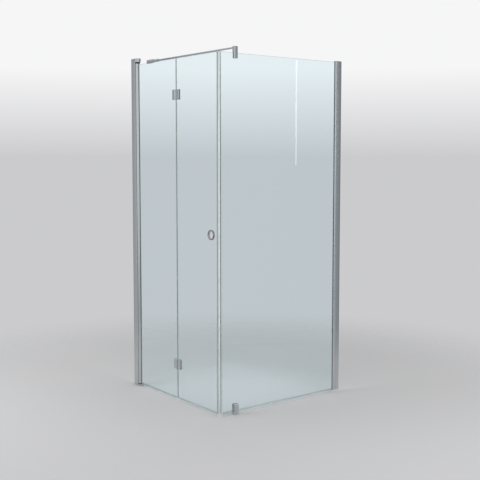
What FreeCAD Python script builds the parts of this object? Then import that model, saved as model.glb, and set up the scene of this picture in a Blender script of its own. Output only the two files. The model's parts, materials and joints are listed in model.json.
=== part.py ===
# Corner shower enclosure: a two-leaf folding door on the left, a fixed pane on the right, wall profiles,
# a stabiliser bar above the door and a clamp at the floor.
#
# Every piece is drawn in room coordinates, in millimetres: X from the left wall towards the fixed pane,
# Y from the outer face of the door glass into the shower, Z up from the floor. One shift at the end moves
# all pieces together, so that the part's origin is on the floor below the middle of its outline.
import FreeCAD, Part
import os
import re
import Sketcher

SHEET = "Sizes"

SIZES = {
    # Overall
    "enclosure_width": 900,
    "enclosure_depth": 900,
    "glass_top": 2000,
    "glass_bottom": 18,
    "glass_thickness": 6,
    # Fits
    "running_fit": 0.05,
    "seat_fit": 0.02,
    "screw_fit": 0.1,
    "running_gap": 0.3,
    "channel_clearance": 0.2,
    "wall_joint": 1,
    "liner": 1,
    # Wall channels and their screws
    "channel_wall": 2,
    "left_channel_depth": 28,
    "right_channel_depth": 20,
    "wall_hole_radius": 2.6,
    "outer_hole_from_end": 109,
    "inner_hole_from_end": 691,
    "profile_screw_radius": 2,
    "profile_screw_head": 3.6,
    "profile_screw_head_height": 2,
    "profile_screw_from_end": 260,
    # Pivot profile at the left wall
    "pivot_from_wall": 54,
    "pivot_tube_radius": 13,
    "seat_clearance": 0.6,
    "seat_web": 2.9,
    "seat_lip": 1.4,
    "seat_set_back": 6,
    "left_profile_wall": 2.5,
    "head_overhang": 5,
    "head_height": 22,
    "block_tongue": 10,
    "block_bevel": 1.5,
    "collar_overhang": 0.3,
    "top_collar": 9,
    "bottom_collar": 3.7,
    "bush_spigot_radius": 7,
    "bush_spigot_depth": 10,
    "pivot_pin_radius": 4,
    "pivot_pin_hold": 40,
    "pin_tip_gap": 0.5,
    "pin_edge": 0.8,
    "tube_rise": 6,
    "tube_wall": 2,
    "tube_port_wall": 2.5,
    "tube_hollow_sweep": 210,
    "slot_wall": 1,
    "edge_gasket": 0.5,
    # Fold hinges
    "fold_margin": 3,
    "leaf_gap": 5,
    "hinge_from_end": 205,
    "hinge_height": 58,
    "hinge_reach": 33,
    "hinge_plate": 5,
    "hinge_clamp": 4,
    "hinge_gasket": 1,
    "hinge_corner": 4,
    "hinge_bevel": 1,
    "knuckle_radius": 6,
    "knuckle_relief": 1,
    "middle_knuckle": 23.4,
    "knuckle_gap": 0.3,
    "hinge_pin_radius": 3,
    "hinge_screw_radius": 2.5,
    "hinge_screw_pitch": 32,
    "hinge_screw_hold": 3.5,
    "hinge_head_radius": 4.6,
    "hinge_head_height": 2.6,
    "hinge_glass_hole": 6,
    # Ring grip
    "grip_from_edge": 59,
    "grip_height": 1010,
    "grip_radius": 28.5,
    "grip_bore": 22,
    "grip_sleeve": 2,
    "grip_glass_hole": 26,
    "grip_flange": 2.5,
    "grip_edge": 0.8,
    "grip_washer": 0.5,
    # Clear seals
    "seal_wall": 1,
    "seal_fit": 0.05,
    "seal_leg": 10,
    "seal_base": 1.5,
    "seal_end_gap": 0.5,
    "fold_lip": 8,
    "fold_lip_gap": 0.3,
    "sweep_cover": 8,
    "sweep_base": 2,
    "sweep_blade": 1.8,
    "sweep_floor_gap": 2,
    "sweep_drip": 4,
    "sweep_drip_fall": 6,
    "sweep_pivot_gap": 4,
    # Magnetic corner
    "corner_gap": 0.5,
    "fixed_seal_reach": 10.5,
    "fixed_seal_front": 2,
    "fixed_edge": 10,
    "door_housing": 9,
    "magnet_depth": 6,
    "magnet_width": 5.6,
    "magnet_skin": 0.8,
    # Profile of the fixed pane
    "pane_from_wall": 24,
    "right_profile_reach": 46,
    "right_profile_width": 22,
    "right_profile_wall": 1.8,
    "right_profile_corner": 5,
    "right_profile_rise": 4,
    "right_lip": 10,
    "right_lip_wall": 1.5,
    "end_cap": 2,
    "end_cap_bevel": 0.8,
    # Floor clamp
    "floor_clamp_from_door": 110,
    "floor_clamp_depth": 30,
    "floor_clamp_width": 31,
    "floor_clamp_height": 60,
    "floor_bore_radius": 2.75,
    "clamp_corner": 3,
    "clamp_bevel": 1,
    "set_screw_radius": 3,
    "set_screw_sink": 1.5,
    "set_screw_hex": 1.6,
    "set_screw_hex_depth": 2.5,
    "floor_screw_height": 40,
    # Stabiliser bar
    "bar_from_door": 110,
    "bar_rise": 29,
    "bar_radius": 5,
    "bar_bore": 3.5,
    "bar_clamp_depth": 24,
    "bar_clamp_width": 23,
    "bar_clamp_grip": 29,
    "bar_clamp_crown": 7,
    "bar_clamp_corner": 5,
    "bar_screw_below_edge": 16,
    "bar_set_screw_radius": 2,
    "bar_sleeve_radius": 9,
    "bar_sleeve_length": 58,
    "bar_edge": 0.8,
    "socket_radius": 12,
    "socket_length": 62,
    "socket_cup": 18,
    "socket_screw_from_wall": 40,
    "bar_stand_off": 20,
    "wall_plate": 3,
    "wall_plate_radius": 10,
    "wall_plate_boss": 4,
    "plate_hole_radius": 1.8,
    "plate_hole_pitch": 14,
}

# Places that several pieces share, as expressions in the sizes
ORIGIN_X = "(enclosure_width - glass_thickness / 2 + floor_clamp_depth / 2) / 2"
ORIGIN_Y = "(enclosure_depth + glass_thickness / 2 - pivot_tube_radius - head_overhang) / 2"
DOOR_MID = "glass_thickness / 2"
PANE_MID = "(enclosure_width - glass_thickness / 2)"
PANE_IN = "(enclosure_width - glass_thickness)"
PANE_END = "(enclosure_depth - pane_from_wall)"
HALF_HEIGHT = "(glass_bottom + glass_top) / 2"

HEAD_RADIUS = "(pivot_tube_radius + head_overhang)"
COLLAR_RADIUS = "(pivot_tube_radius + collar_overhang)"
TUBE_TOP = "(glass_top + tube_rise)"
HEAD_LOW = f"({TUBE_TOP} + running_gap + top_collar)"
FOOT_TOP = "(glass_bottom - running_gap - bottom_collar)"
SEAT_WIDTH = "(2 * (pivot_tube_radius + seat_clearance + seat_lip))"
SEAT_FRONT = "(pivot_from_wall - seat_set_back)"
SLOT_FLOOR = "(pivot_from_wall + pivot_pin_radius + slot_wall)"
WALL_LEAF_START = f"({SLOT_FLOOR} + edge_gasket)"

DOOR_TIP = "(enclosure_width - fixed_seal_reach - corner_gap)"
DOOR_EDGE = f"({DOOR_TIP} - door_housing)"
FOLD_X = f"(({DOOR_TIP} + pivot_from_wall + {HEAD_RADIUS} + fold_margin) / 2)"
PIN_Y = "-(hinge_gasket + knuckle_radius)"
HINGE_START = "(knuckle_radius + knuckle_relief)"
HINGE_MIDDLE = f"(({HINGE_START} + hinge_reach) / 2)"
HINGE_HEIGHTS = {"lower": "(glass_bottom + hinge_from_end)", "upper": "(glass_top - hinge_from_end)"}
GRIP_X = f"({DOOR_EDGE} - grip_from_edge)"
SEAL_FRONT = "-seal_fit"
SEAL_BACK = "(glass_thickness + seal_fit)"
SEAL_FLOOR = "glass_bottom - seal_fit"

PROFILE_TOP = "(glass_top + right_profile_rise)"
PROFILE_FRONT = "(enclosure_depth - right_profile_reach)"
PROFILE_BACK = "(enclosure_depth - wall_joint)"
BAR_Z = "(glass_top + bar_rise)"
BAR_CLAMP_IN = f"({PANE_MID} - bar_clamp_depth / 2)"
FLOOR_CLAMP_IN = f"({PANE_MID} - floor_clamp_depth / 2)"
SLOT_HALF = "(glass_thickness / 2 + liner)"

# Sketch plane square to each direction, with the sign of its normal
PLANES = {"x": ("YZ_Plane", 1), "y": ("XZ_Plane", -1), "z": ("XY_Plane", 1)}
TURNS = {
    "x": FreeCAD.Rotation(FreeCAD.Vector(0, 1, 0), 90),
    "y": FreeCAD.Rotation(FreeCAD.Vector(1, 0, 0), -90),
    "z": FreeCAD.Rotation(),
}
START_RADIUS = 100.0
SAME_PLACE = 1e-6

doc = FreeCAD.newDocument("corner_shower_enclosure")
sheet = doc.addObject("Spreadsheet::Sheet", SHEET)
for row, (alias, value) in enumerate(SIZES.items(), start=1):
    sheet.set(f"A{row}", alias.replace("_", " "))
    sheet.set(f"B{row}", str(value))
    sheet.setAlias(f"B{row}", alias)
doc.recompute()

subparts = []


# Expressions, sketches and features

def in_sheet(text):
    """Return an expression in which every size name points at its cell."""
    def point(found):
        word = found.group(0)
        return f"{SHEET}.{word}" if word in SIZES else word
    return re.sub(r"[a-z_]+", point, text)


def bind(thing, prop, text):
    thing.setExpression(prop, in_sheet(text))


def keep(thing, label):
    """Name a finished sub-part and shift it from room coordinates to the part's own frame."""
    thing.Label = label
    bind(thing, "Placement.Base.x", f"-({ORIGIN_X})")
    bind(thing, "Placement.Base.y", f"-({ORIGIN_Y})")
    subparts.append(thing)
    return thing


def new_body(label):
    return keep(doc.addObject("PartDesign::Body", label), label)


def new_sketch(body, direction, start):
    """Add a sketch square to a direction, at a distance along it from the origin."""
    role, sign = PLANES[direction]
    plane = next(item for item in body.Origin.OriginFeatures if item.Role == role)
    sketch = body.newObject("Sketcher::SketchObject", f"{body.Name}_sketch")
    sketch.AttachmentSupport = (plane, [""])
    sketch.MapMode = "FlatFace"
    bind(sketch, "AttachmentOffset.Base.z", start if sign > 0 else f"-({start})")
    return sketch


def fix_point(sketch, geometry, place, corner):
    """Hold a point of a sketch at two expressions measured from the sketch's origin."""
    for kind, text in zip(("DistanceX", "DistanceY"), corner):
        constraint = Sketcher.Constraint(kind, -1, 1, geometry, place, START_RADIUS)
        number = sketch.addConstraint(constraint)
        bind(sketch, f"Constraints[{number}]", text)


def add_outline(sketch, corners):
    """Draw a closed outline of straight edges; its corners start on a circle and are then held in place."""
    count = len(corners)
    turn = FreeCAD.Rotation(FreeCAD.Vector(0, 0, 1), 360.0 / count)
    ring = [FreeCAD.Vector(START_RADIUS, 0, 0)]
    for _ in range(count - 1):
        ring.append(turn.multVec(ring[-1]))
    first = sketch.GeometryCount
    sketch.addGeometry([Part.LineSegment(ring[n], ring[(n + 1) % count]) for n in range(count)])
    for n, corner in enumerate(corners):
        sketch.addConstraint(Sketcher.Constraint("Coincident", first + n, 2, first + (n + 1) % count, 1))
        fix_point(sketch, first + n, 1, corner)


def add_circle(sketch, centre, radius):
    start = Part.Circle(FreeCAD.Vector(START_RADIUS, 0, 0), FreeCAD.Vector(0, 0, 1), 1)
    geometry = sketch.addGeometry(start)
    fix_point(sketch, geometry, 3, centre)
    number = sketch.addConstraint(Sketcher.Constraint("Radius", geometry, 1.0))
    bind(sketch, f"Constraints[{number}]", radius)


def draw(sketch, outlines, circles):
    for corners in outlines:
        add_outline(sketch, corners)
    for centre, radius in circles:
        add_circle(sketch, centre, radius)


def extrude(body, direction, start, length, outlines=(), circles=()):
    """Add material from a start plane along a positive direction; outlines inside others are holes."""
    sketch = new_sketch(body, direction, start)
    draw(sketch, outlines, circles)
    pad = body.newObject("PartDesign::Pad", f"{body.Name}_pad")
    pad.Profile = sketch
    pad.Reversed = PLANES[direction][1] < 0
    bind(pad, "Length", length)
    return body


def cut(body, direction, start, length, outlines=(), circles=()):
    """Remove material from a start plane along a positive direction."""
    sketch = new_sketch(body, direction, start)
    draw(sketch, outlines, circles)
    doc.recompute()
    volume = body.Shape.Volume
    pocket = body.newObject("PartDesign::Pocket", f"{body.Name}_pocket")
    pocket.Profile = sketch
    pocket.Reversed = PLANES[direction][1] > 0
    bind(pocket, "Length", length)
    doc.recompute()
    if not body.Shape.Volume < volume:
        raise RuntimeError(f"a cut in {body.Label} removes nothing")
    return body


def turned(label, plane, plane_at, axis, profile):
    """Make a turned piece: a profile drawn in a plane and revolved about a line in that plane."""
    body = new_body(label)
    sketch = new_sketch(body, plane, plane_at)
    add_outline(sketch, profile)
    line = Part.LineSegment(FreeCAD.Vector(), FreeCAD.Vector(START_RADIUS, START_RADIUS, 0))
    centre = sketch.addGeometry(line, True)
    for place, corner in enumerate(axis, start=1):
        fix_point(sketch, centre, place, corner)
    revolution = body.newObject("PartDesign::Revolution", f"{label}_turn")
    revolution.Profile = sketch
    revolution.ReferenceAxis = (sketch, ["Axis0"])
    revolution.Angle = 360
    return body


def dress_edges(body, kind, prop, size, wanted):
    """Round or bevel the edges of a body that a test picks out."""
    doc.recompute()
    tip = body.Tip
    shape = tip.Shape
    names = [f"Edge{n}" for n, edge in enumerate(shape.Edges, start=1) if wanted(shape, edge)]
    dress = body.newObject(f"PartDesign::{kind}", f"{body.Name}_edges")
    dress.Base = (tip, names)
    bind(dress, prop, size)


def round_edges(body, radius, wanted):
    dress_edges(body, "Fillet", "Radius", radius, wanted)


def bevel_edges(body, size, wanted):
    dress_edges(body, "Chamfer", "Size", size, wanted)


def spans(edge, direction):
    """Return an edge's lowest and highest coordinate along a direction."""
    places = [getattr(vertex.Point, direction) for vertex in edge.Vertexes]
    return min(places), max(places)


def along(direction, at=None, end=None):
    """Test for straight edges that run along a direction, on the low or high side of another if given."""
    def wanted(shape, edge):
        if not isinstance(edge.Curve, Part.Line):
            return False
        if abs(abs(getattr(edge.tangentAt(edge.FirstParameter), direction)) - 1) > SAME_PLACE:
            return False
        return at is None or on_side(shape, edge, at, end)
    return wanted


def on_side(shape, edge, direction, end):
    """Tell whether a whole edge lies on the low or high side of its shape along a direction."""
    word = "Min" if end == "low" else "Max"
    side = getattr(shape.BoundBox, direction.upper() + word)
    return all(abs(place - side) < SAME_PLACE for place in spans(edge, direction))


def rim(direction, end):
    """Test for the edges round the low or high face of a shape along a direction."""
    return lambda shape, edge: on_side(shape, edge, direction, end)


def box_outline(low, high):
    """Corners of a rectangle from its low and high corner."""
    (low_u, low_v), (high_u, high_v) = low, high
    return [(low_u, low_v), (high_u, low_v), (high_u, high_v), (low_u, high_v)]


# Plain solids for screws, pins and bars

def cylinder(direction, centre, radius, length):
    """A cylinder from its centre point, along a positive direction."""
    solid = doc.addObject("Part::Cylinder", "rod")
    solid.Placement = FreeCAD.Placement(FreeCAD.Vector(), TURNS[direction])
    place_at(solid, centre)
    bind(solid, "Radius", radius)
    bind(solid, "Height", length)
    return solid


def hex_prism(direction, centre, radius, length):
    """A six-sided prism from its centre point, along a positive direction."""
    solid = doc.addObject("Part::Prism", "hex")
    solid.Polygon = 6
    solid.Placement = FreeCAD.Placement(FreeCAD.Vector(), TURNS[direction])
    place_at(solid, centre)
    bind(solid, "Circumradius", radius)
    bind(solid, "Height", length)
    return solid


def place_at(solid, centre):
    for letter, text in zip("xyz", centre):
        bind(solid, f"Placement.Base.{letter}", text)


def subtract(base, tool):
    result = doc.addObject("Part::Cut", "cut")
    result.Base = base
    result.Tool = tool
    return result


def join(solids):
    result = doc.addObject("Part::MultiFuse", "join")
    result.Shapes = solids
    return result


def group(label, solids):
    """Keep several separate solids of one kind as one sub-part."""
    result = doc.addObject("Part::Compound", label)
    result.Links = solids
    return keep(result, label)


# Wall channels and profiles

def wall_hole_heights():
    return [
        "glass_bottom + outer_hole_from_end",
        "glass_bottom + inner_hole_from_end",
        "glass_top - inner_hole_from_end",
        "glass_top - outer_hole_from_end",
    ]


def profile_screw_heights():
    return ["glass_bottom + profile_screw_from_end", HALF_HEIGHT, "glass_top - profile_screw_from_end"]


def left_wall_channel():
    """U channel screwed to the left wall, open towards the shower."""
    half = f"({SEAT_WIDTH} / 2 - left_profile_wall - channel_clearance)"
    low = f"{DOOR_MID} - {half}"
    high = f"{DOOR_MID} + {half}"
    section = [
        ("0", low),
        ("left_channel_depth", low),
        ("left_channel_depth", f"{low} + channel_wall"),
        ("channel_wall", f"{low} + channel_wall"),
        ("channel_wall", f"{high} - channel_wall"),
        ("left_channel_depth", f"{high} - channel_wall"),
        ("left_channel_depth", high),
        ("0", high),
    ]
    body = new_body("left_wall_channel")
    extrude(body, "z", FOOT_TOP, f"{HEAD_LOW} - {FOOT_TOP}", [section])
    holes = [((DOOR_MID, height), "wall_hole_radius") for height in wall_hole_heights()]
    cut(body, "x", "0", "channel_wall", circles=holes)
    screw_x = "left_channel_depth / 2"
    screws = [((screw_x, height), "profile_screw_radius + screw_fit") for height in profile_screw_heights()]
    cut(body, "y", f"{high} - channel_wall", "channel_wall", circles=screws)


def left_seat_profile():
    """Profile that slides over the left channel, with a hollow round seat for the pivot tube."""
    low = f"({DOOR_MID} - {SEAT_WIDTH} / 2)"
    high = f"({DOOR_MID} + {SEAT_WIDTH} / 2)"
    cavity = "pivot_from_wall - pivot_tube_radius - seat_clearance - seat_web"
    section = [
        ("wall_joint", low),
        (SEAT_FRONT, low),
        (SEAT_FRONT, high),
        ("wall_joint", high),
        ("wall_joint", f"{high} - left_profile_wall"),
        (cavity, f"{high} - left_profile_wall"),
        (cavity, f"{low} + left_profile_wall"),
        ("wall_joint", f"{low} + left_profile_wall"),
    ]
    length = f"{HEAD_LOW} - {FOOT_TOP}"
    body = new_body("left_seat_profile")
    extrude(body, "z", FOOT_TOP, length, [section])
    seat = (("pivot_from_wall", DOOR_MID), "pivot_tube_radius + seat_clearance")
    cut(body, "z", FOOT_TOP, length, circles=[seat])
    screw_x = "left_channel_depth / 2"
    screws = [((screw_x, height), "profile_screw_radius + screw_fit") for height in profile_screw_heights()]
    cut(body, "y", f"{high} - left_profile_wall", "left_profile_wall", circles=screws)


def profile_screw(direction, head_start, shank_start, shank, centre):
    """Round-headed screw: a head and a shank on one axis."""
    across = [letter for letter in "xyz" if letter != direction]
    head_at = dict(zip(across, centre))
    shank_at = dict(head_at)
    head_at[direction] = head_start
    shank_at[direction] = shank_start
    head = cylinder(direction, [head_at[letter] for letter in "xyz"],
                    "profile_screw_head", "profile_screw_head_height")
    rod = cylinder(direction, [shank_at[letter] for letter in "xyz"], "profile_screw_radius", shank)
    return join([head, rod])


def left_profile_screws():
    """Screws through the inner side of the seat profile into the channel."""
    face = f"({DOOR_MID} + {SEAT_WIDTH} / 2)"
    depth = "(left_profile_wall + channel_clearance + channel_wall)"
    screws = []
    for height in profile_screw_heights():
        centre = ("left_channel_depth / 2", height)
        screws.append(profile_screw("y", face, f"{face} - {depth}", depth, centre))
    group("left_profile_screws", screws)


def right_wall_channel():
    """U channel screwed to the back wall, open towards the fixed pane."""
    half = "(right_profile_width / 2 - right_profile_wall - channel_clearance)"
    low = f"{PANE_MID} - {half}"
    high = f"{PANE_MID} + {half}"
    front = "enclosure_depth - right_channel_depth"
    back = "enclosure_depth"
    section = [
        (low, front),
        (f"{low} + channel_wall", front),
        (f"{low} + channel_wall", f"{back} - channel_wall"),
        (f"{high} - channel_wall", f"{back} - channel_wall"),
        (f"{high} - channel_wall", front),
        (high, front),
        (high, back),
        (low, back),
    ]
    body = new_body("right_wall_channel")
    extrude(body, "z", "glass_bottom", f"{PROFILE_TOP} - glass_bottom", [section])
    holes = [((PANE_MID, height), "wall_hole_radius") for height in wall_hole_heights()]
    cut(body, "y", f"{back} - channel_wall", "channel_wall", circles=holes)
    screw_y = "enclosure_depth - right_channel_depth / 2"
    screws = [((screw_y, height), "profile_screw_radius + screw_fit") for height in profile_screw_heights()]
    cut(body, "x", low, "channel_wall", circles=screws)


def right_cover_profile():
    """Profile that slides over the back channel and takes the fixed pane between two inner lips."""
    left = f"({PANE_MID} - right_profile_width / 2)"
    right = f"({PANE_MID} + right_profile_width / 2)"
    slot_left = f"({PANE_MID} - {SLOT_HALF})"
    slot_right = f"({PANE_MID} + {SLOT_HALF})"
    inside = f"{PROFILE_FRONT} + right_profile_wall"
    lip_end = f"{PROFILE_FRONT} + right_lip"
    web = f"{PANE_END} + liner"
    section = [
        (left, PROFILE_BACK),
        (left, PROFILE_FRONT),
        (slot_left, PROFILE_FRONT),
        (slot_left, lip_end),
        (f"{slot_left} - right_lip_wall", lip_end),
        (f"{slot_left} - right_lip_wall", inside),
        (f"{left} + right_profile_wall", inside),
        (f"{left} + right_profile_wall", web),
        (f"{right} - right_profile_wall", web),
        (f"{right} - right_profile_wall", inside),
        (f"{slot_right} + right_lip_wall", inside),
        (f"{slot_right} + right_lip_wall", lip_end),
        (slot_right, lip_end),
        (slot_right, PROFILE_FRONT),
        (right, PROFILE_FRONT),
        (right, PROFILE_BACK),
        (f"{right} - right_profile_wall", PROFILE_BACK),
        (f"{right} - right_profile_wall", f"{web} + right_profile_wall"),
        (f"{left} + right_profile_wall", f"{web} + right_profile_wall"),
        (f"{left} + right_profile_wall", PROFILE_BACK),
    ]
    body = new_body("right_cover_profile")
    extrude(body, "z", "glass_bottom", f"{PROFILE_TOP} - glass_bottom", [section])

    def front_corner(shape, edge):
        outer = on_side(shape, edge, "x", "low") or on_side(shape, edge, "x", "high")
        return outer and along("z", "y", "low")(shape, edge)

    def inner_corner(shape, edge):
        wall = sheet.get("right_profile_wall")
        box = shape.BoundBox
        x, _ = spans(edge, "x")
        y, _ = spans(edge, "y")
        from_side = min(x - box.XMin, box.XMax - x)
        by_wall = max(abs(from_side - wall), abs(y - box.YMin - wall)) < SAME_PLACE
        return by_wall and along("z")(shape, edge)

    round_edges(body, "right_profile_corner - right_profile_wall", inner_corner)
    round_edges(body, "right_profile_corner", front_corner)
    screw_y = "enclosure_depth - right_channel_depth / 2"
    screws = [((screw_y, height), "profile_screw_radius + screw_fit") for height in profile_screw_heights()]
    cut(body, "x", left, "right_profile_wall", circles=screws)


def right_profile_screws():
    """Screws through the inner side of the cover profile into the back channel."""
    face = f"({PANE_MID} - right_profile_width / 2)"
    depth = "right_profile_wall + channel_clearance + channel_wall"
    screws = []
    for height in profile_screw_heights():
        centre = ("enclosure_depth - right_channel_depth / 2", height)
        screws.append(profile_screw("x", f"{face} - profile_screw_head_height", face, depth, centre))
    group("right_profile_screws", screws)


def right_glazing_gaskets():
    """A rubber strip on each side of the fixed pane, between the lips of the cover profile."""
    body = new_body("right_glazing_gaskets")
    end = f"{PROFILE_FRONT} + right_lip"
    strips = [
        box_outline((f"{PANE_MID} - {SLOT_HALF}", PROFILE_FRONT), (PANE_IN, end)),
        box_outline(("enclosure_width", PROFILE_FRONT), (f"{PANE_MID} + {SLOT_HALF}", end)),
    ]
    extrude(body, "z", "glass_bottom", "glass_top - glass_bottom", strips)


def right_end_cap(label, start, outer_end):
    """Cap over one end of the cover profile."""
    outline = box_outline((f"{PANE_MID} - right_profile_width / 2", PROFILE_FRONT),
                          (f"{PANE_MID} + right_profile_width / 2", PROFILE_BACK))
    body = new_body(label)
    extrude(body, "z", start, "end_cap", [outline])
    round_edges(body, "right_profile_corner", along("z", "y", "low"))
    bevel_edges(body, "end_cap_bevel", rim("z", outer_end))


# Pivot of the wall leaf

def pivot_block(label, start, height, tongue_start, bore_start, outer_end):
    """Block that closes one end of the seat profile and carries the pivot bush in a round head."""
    low = f"{DOOR_MID} - {SEAT_WIDTH} / 2"
    high = f"{DOOR_MID} + {SEAT_WIDTH} / 2"
    body = new_body(label)
    extrude(body, "z", start, height, [box_outline(("wall_joint", low), ("pivot_from_wall", high))])
    extrude(body, "z", start, height, circles=[(("pivot_from_wall", DOOR_MID), HEAD_RADIUS)])
    bevel_edges(body, "block_bevel", rim("z", outer_end))
    inside = "(left_profile_wall + channel_clearance + channel_wall + running_gap)"
    tongue = box_outline(("channel_wall + running_gap", f"{low} + {inside}"),
                         ("left_channel_depth", f"{high} - {inside}"))
    extrude(body, "z", tongue_start, "block_tongue", [tongue])
    bore = (("pivot_from_wall", DOOR_MID), "bush_spigot_radius")
    cut(body, "z", bore_start, "bush_spigot_depth", circles=[bore])


def pivot_bush(label, block_face, collar_end, spigot_end):
    """Flanged bush of black plastic: a spigot in the block and a collar towards the tube."""
    bore = "pivot_from_wall + pivot_pin_radius + running_fit"
    spigot = "pivot_from_wall + bush_spigot_radius"
    collar = f"pivot_from_wall + {COLLAR_RADIUS}"
    profile = [
        (bore, spigot_end),
        (spigot, spigot_end),
        (spigot, block_face),
        (collar, block_face),
        (collar, collar_end),
        (bore, collar_end),
    ]
    axis = [("pivot_from_wall", spigot_end), ("pivot_from_wall", collar_end)]
    turned(label, "y", DOOR_MID, axis, profile)


def pivot_pin(label, low, high):
    """Steel pin held in the screw port of the tube, running in the bush."""
    axis = [("pivot_from_wall", low), ("pivot_from_wall", high)]
    edge = "pivot_from_wall + pivot_pin_radius"
    profile = [
        ("pivot_from_wall", low),
        (f"{edge} - pin_edge", low),
        (edge, f"{low} + pin_edge"),
        (edge, f"{high} - pin_edge"),
        (f"{edge} - pin_edge", high),
        ("pivot_from_wall", high),
    ]
    turned(label, "y", DOOR_MID, axis, profile)


def pivot_tube():
    """Extruded tube that turns with the wall leaf: glass slot, screw port and a hollow back."""
    length = f"{TUBE_TOP} - glass_bottom"
    centre = ("pivot_from_wall", DOOR_MID)
    body = doc.addObject("PartDesign::Body", "tube_section")
    extrude(body, "z", "glass_bottom", length,
            circles=[(centre, "pivot_tube_radius"), (centre, "pivot_pin_radius + seat_fit")])
    slot = box_outline((SLOT_FLOOR, f"{DOOR_MID} - {SLOT_HALF}"),
                       ("pivot_from_wall + 2 * pivot_tube_radius", f"{DOOR_MID} + {SLOT_HALF}"))
    cut(body, "z", "glass_bottom", length, [slot])
    base = (*centre, "glass_bottom")
    hollow = cylinder("z", base, "pivot_tube_radius - tube_wall", length)
    bind(hollow, "Angle", "tube_hollow_sweep")
    hollow_start = 180 - SIZES["tube_hollow_sweep"] / 2
    hollow.Placement.Rotation = FreeCAD.Rotation(FreeCAD.Vector(0, 0, 1), hollow_start)
    port = cylinder("z", base, "pivot_pin_radius + tube_port_wall", length)
    keep(subtract(body, subtract(hollow, port)), "pivot_tube")


def tube_glazing_gasket():
    """U strip of rubber that beds the glass in the tube's slot."""
    low = f"{DOOR_MID} - {SLOT_HALF}"
    high = f"{DOOR_MID} + {SLOT_HALF}"
    mouth = "pivot_from_wall + pivot_tube_radius - liner"
    section = [
        (SLOT_FLOOR, low),
        (mouth, low),
        (mouth, "0"),
        (WALL_LEAF_START, "0"),
        (WALL_LEAF_START, "glass_thickness"),
        (mouth, "glass_thickness"),
        (mouth, high),
        (SLOT_FLOOR, high),
    ]
    body = new_body("tube_glazing_gasket")
    extrude(body, "z", "glass_bottom", "glass_top - glass_bottom", [section])


# Glass

def hinge_holes(side, radius):
    """Places of the four hinge screws of one leaf, seen square to the glass."""
    across = f"{FOLD_X} {side} {HINGE_MIDDLE}"
    holes = []
    for height in HINGE_HEIGHTS.values():
        holes.append(((across, f"{height} - hinge_screw_pitch / 2"), radius))
        holes.append(((across, f"{height} + hinge_screw_pitch / 2"), radius))
    return holes


def leaf_glass(label, start, end, circles):
    body = new_body(label)
    outline = box_outline((start, "glass_bottom"), (end, "glass_top"))
    extrude(body, "y", "0", "glass_thickness", [outline], circles)


def glass_panes():
    leaf_glass("wall_leaf_glass", WALL_LEAF_START, f"{FOLD_X} - leaf_gap / 2",
               hinge_holes("-", "hinge_glass_hole"))
    grip = ((GRIP_X, "grip_height"), "grip_glass_hole")
    leaf_glass("outer_leaf_glass", f"{FOLD_X} + leaf_gap / 2", DOOR_EDGE,
               hinge_holes("+", "hinge_glass_hole") + [grip])
    body = new_body("fixed_glass")
    pane = box_outline(("fixed_edge", "glass_bottom"), (PANE_END, "glass_top"))
    extrude(body, "x", PANE_IN, "glass_thickness", [pane])


# Fold hinges

def hinge_field(side, height):
    """Outline of a hinge plate seen square to the glass, beyond the knuckles on one side of the fold."""
    near = f"{FOLD_X} {side} {HINGE_START}"
    far = f"{FOLD_X} {side} hinge_reach"
    return box_outline((near, f"{height} - hinge_height / 2"), (far, f"{height} + hinge_height / 2"))


def knuckle_stack(height):
    """Low end and length of the knuckles of each hinge half, from the bottom of the hinge up."""
    end = "((hinge_height - middle_knuckle) / 2 - knuckle_gap)"
    low = f"{height} - hinge_height / 2"
    return {
        "-": [(low, end), (f"{height} + hinge_height / 2 - {end}", end)],
        "+": [(f"{height} - middle_knuckle / 2", "middle_knuckle")],
    }


def hinge_plate(label, side, height):
    """Outer half of a fold hinge: a plate on the glass and its knuckles round the pin."""
    far_end = "low" if side == "-" else "high"
    near_end = "high" if side == "-" else "low"
    plate_y = "-(hinge_gasket + hinge_plate)"
    body = new_body(label)
    extrude(body, "y", plate_y, "hinge_plate", [hinge_field(side, height)])
    round_edges(body, "hinge_corner", along("y", "x", far_end))

    def outer_rim(shape, edge):
        return on_side(shape, edge, "y", "low") and not on_side(shape, edge, "x", near_end)

    bevel_edges(body, "hinge_bevel", outer_rim)
    web = box_outline((f"{FOLD_X} {side} {HINGE_START}", plate_y), (FOLD_X, "-hinge_gasket"))
    barrel = ((FOLD_X, PIN_Y), "knuckle_radius")
    for start, length in knuckle_stack(height)[side]:
        extrude(body, "z", start, length, [web])
        extrude(body, "z", start, length, circles=[barrel])
    fit = "seat_fit" if side == "-" else "running_fit"
    bore = ((FOLD_X, PIN_Y), f"hinge_pin_radius + {fit}")
    cut(body, "z", f"{height} - hinge_height / 2", "hinge_height", circles=[bore])
    across = f"{FOLD_X} {side} {HINGE_MIDDLE}"
    threads = [((across, f"{height} {way} hinge_screw_pitch / 2"), "hinge_screw_radius") for way in "-+"]
    cut(body, "y", "-(hinge_gasket + hinge_screw_hold)", "hinge_screw_hold", circles=threads)


def hinge_clamp(label, side, height):
    """Inner plate of a fold hinge, with sunk seats for the screw heads."""
    start = "glass_thickness + hinge_gasket"
    across = f"{FOLD_X} {side} {HINGE_MIDDLE}"
    places = [(across, f"{height} {way} hinge_screw_pitch / 2") for way in "-+"]
    body = new_body(label)
    extrude(body, "y", start, "hinge_clamp", [hinge_field(side, height)])
    round_edges(body, "hinge_corner", along("y"))
    bevel_edges(body, "hinge_bevel", rim("y", "high"))
    cut(body, "y", start, "hinge_clamp",
        circles=[(place, "hinge_screw_radius + screw_fit") for place in places])
    cut(body, "y", f"{start} + hinge_clamp - hinge_head_height", "hinge_head_height",
        circles=[(place, "hinge_head_radius + screw_fit") for place in places])


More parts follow.
